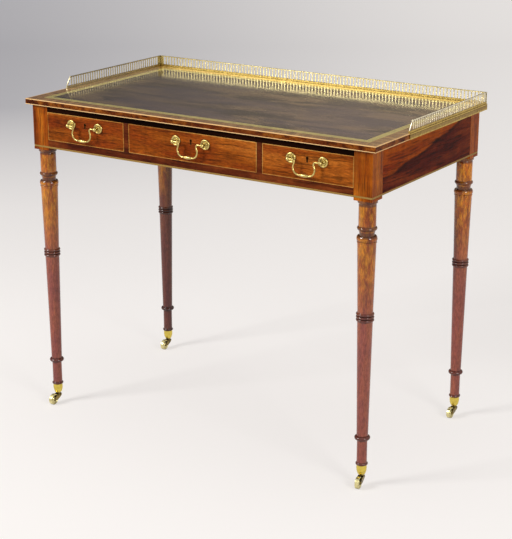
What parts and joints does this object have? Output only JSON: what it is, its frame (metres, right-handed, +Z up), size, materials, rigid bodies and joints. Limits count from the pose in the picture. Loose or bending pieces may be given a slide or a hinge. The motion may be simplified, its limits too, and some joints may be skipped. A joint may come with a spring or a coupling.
{
  "type": "writing table",
  "caption": "Writing table with a leather top, pierced brass gallery, frieze drawers with bail handles, and turned legs on brass casters.",
  "frame": {"origin": "on the floor, under the middle of the table's overall box", "axes": "+X to the right of someone who faces the drawers, -Y towards them, +Z up"},
  "size_m": [0.8986, 0.5164, 0.766],
  "materials": {
    "rosewood_top": "polished rosewood border",
    "leather": "dark polished leather with a gilt tooled border",
    "brass": "polished, softly worn",
    "rosewood_apron": "polished figured rosewood",
    "ebonised_rail": "ebonised, polished",
    "rosewood_rail": "polished rosewood, dark",
    "rosewood_leg": "polished, turned",
    "rosewood_drawer": "polished veneer",
    "boxwood_line": "boxwood line, polished",
    "carcase_wood": "plain planed wood",
    "drawer_lining": "plain planed wood",
    "steel_screw": "dull steel"
  },
  "bodies": {
    "table": {"top_board": "rosewood_top", "leather_inset": "leather", "top_edge_lines": "boxwood_line", "gallery_rear": "brass", "gallery_left": "brass", "gallery_right": "brass", "gallery_edge_strip": "brass", "gallery_pins": "brass", "apron_back": "rosewood_apron", "apron_left": "rosewood_apron", "apron_right": "rosewood_apron", "front_top_rail": "ebonised_rail", "front_bottom_rail": "rosewood_rail", "drawer_dividers": "rosewood_rail", "frieze_base_line": "boxwood_line", "drawer_runners": "carcase_wood", "drawer_guides": "carcase_wood", "drawer_kickers": "carcase_wood", "drawer_stops": "carcase_wood", "top_screws": "steel_screw", "caster_cups": "brass", "leg_front_left": "rosewood_leg", "leg_front_right": "rosewood_leg", "leg_rear_left": "rosewood_leg", "leg_rear_right": "rosewood_leg"},
    "drawer_left": {"drawer_front_left": "rosewood_drawer", "drawer_stringing_left": "boxwood_line", "drawer_sides_left": "drawer_lining", "drawer_back_left": "drawer_lining", "drawer_bottom_left": "drawer_lining", "handle_mounts_left": "brass", "lock_left": "brass"},
    "bail_left": {"handle_bail_left": "brass"},
    "bolt_left": {"lock_bolt_left": "brass"},
    "drawer_centre": {"drawer_front_centre": "rosewood_drawer", "drawer_stringing_centre": "boxwood_line", "drawer_sides_centre": "drawer_lining", "drawer_back_centre": "drawer_lining", "drawer_bottom_centre": "drawer_lining", "handle_mounts_centre": "brass", "lock_centre": "brass"},
    "bail_centre": {"handle_bail_centre": "brass"},
    "bolt_centre": {"lock_bolt_centre": "brass"},
    "drawer_right": {"drawer_front_right": "rosewood_drawer", "drawer_stringing_right": "boxwood_line", "drawer_sides_right": "drawer_lining", "drawer_back_right": "drawer_lining", "drawer_bottom_right": "drawer_lining", "handle_mounts_right": "brass", "lock_right": "brass"},
    "bail_right": {"handle_bail_right": "brass"},
    "bolt_right": {"lock_bolt_right": "brass"},
    "fork_front_left": {"caster_fork_front_left": "brass"},
    "wheel_front_left": {"caster_wheel_front_left": "brass"},
    "fork_front_right": {"caster_fork_front_right": "brass"},
    "wheel_front_right": {"caster_wheel_front_right": "brass"},
    "fork_rear_left": {"caster_fork_rear_left": "brass"},
    "wheel_rear_left": {"caster_wheel_rear_left": "brass"},
    "fork_rear_right": {"caster_fork_rear_right": "brass"},
    "wheel_rear_right": {"caster_wheel_rear_right": "brass"}
  },
  "joints": [
    {"name": "drawer_slide_left", "type": "slide", "parent": "table", "child": "drawer_left", "axis": [0, -1, 0], "range_m": [0, 0.3]},
    {"name": "bail_swing_left", "type": "hinge", "parent": "drawer_left", "child": "bail_left", "pos_m": [-0.2865, -0.2536, 0.6915], "axis": [-1, 0, 0], "range_deg": [0, 90]},
    {"name": "bolt_slide_left", "type": "slide", "parent": "drawer_left", "child": "bolt_left", "axis": [0, 0, 1], "range_m": [0, 0.006]},
    {"name": "drawer_slide_centre", "type": "slide", "parent": "table", "child": "drawer_centre", "axis": [0, -1, 0], "range_m": [0, 0.3]},
    {"name": "bail_swing_centre", "type": "hinge", "parent": "drawer_centre", "child": "bail_centre", "pos_m": [0, -0.2536, 0.6915], "axis": [-1, 0, 0], "range_deg": [0, 90]},
    {"name": "bolt_slide_centre", "type": "slide", "parent": "drawer_centre", "child": "bolt_centre", "axis": [0, 0, 1], "range_m": [0, 0.006]},
    {"name": "drawer_slide_right", "type": "slide", "parent": "table", "child": "drawer_right", "axis": [0, -1, 0], "range_m": [0, 0.3]},
    {"name": "bail_swing_right", "type": "hinge", "parent": "drawer_right", "child": "bail_right", "pos_m": [0.2865, -0.2536, 0.6915], "axis": [-1, 0, 0], "range_deg": [0, 90]},
    {"name": "bolt_slide_right", "type": "slide", "parent": "drawer_right", "child": "bolt_right", "axis": [0, 0, 1], "range_m": [0, 0.006]},
    {"name": "swivel_front_left", "type": "hinge", "parent": "table", "child": "fork_front_left", "pos_m": [-0.4155, -0.2196, 0.0273], "axis": [0, 0, 1], "continuous": true},
    {"name": "wheel_turn_front_left", "type": "hinge", "parent": "fork_front_left", "child": "wheel_front_left", "pos_m": [-0.41519, -0.2376, 0.013], "axis": [0.9998, 0.0175, 0], "continuous": true},
    {"name": "swivel_front_right", "type": "hinge", "parent": "table", "child": "fork_front_right", "pos_m": [0.4155, -0.2196, 0.0273], "axis": [0, 0, 1], "continuous": true},
    {"name": "wheel_turn_front_right", "type": "hinge", "parent": "fork_front_right", "child": "wheel_front_right", "pos_m": [0.41832, -0.23738, 0.013], "axis": [0.9877, 0.1564, 0], "continuous": true},
    {"name": "swivel_rear_left", "type": "hinge", "parent": "table", "child": "fork_rear_left", "pos_m": [-0.4155, 0.2244, 0.0273], "axis": [0, 0, 1], "continuous": true},
    {"name": "wheel_turn_rear_left", "type": "hinge", "parent": "fork_rear_left", "child": "wheel_rear_left", "pos_m": [-0.41456, 0.20642, 0.013], "axis": [0.9986, 0.0523, 0], "continuous": true},
    {"name": "swivel_rear_right", "type": "hinge", "parent": "table", "child": "fork_rear_right", "pos_m": [0.4155, 0.2244, 0.0273], "axis": [0, 0, 1], "continuous": true},
    {"name": "wheel_turn_rear_right", "type": "hinge", "parent": "fork_rear_right", "child": "wheel_rear_right", "pos_m": [0.41487, 0.20641, 0.013], "axis": [0.9994, -0.0349, 0], "continuous": true}
  ]
}
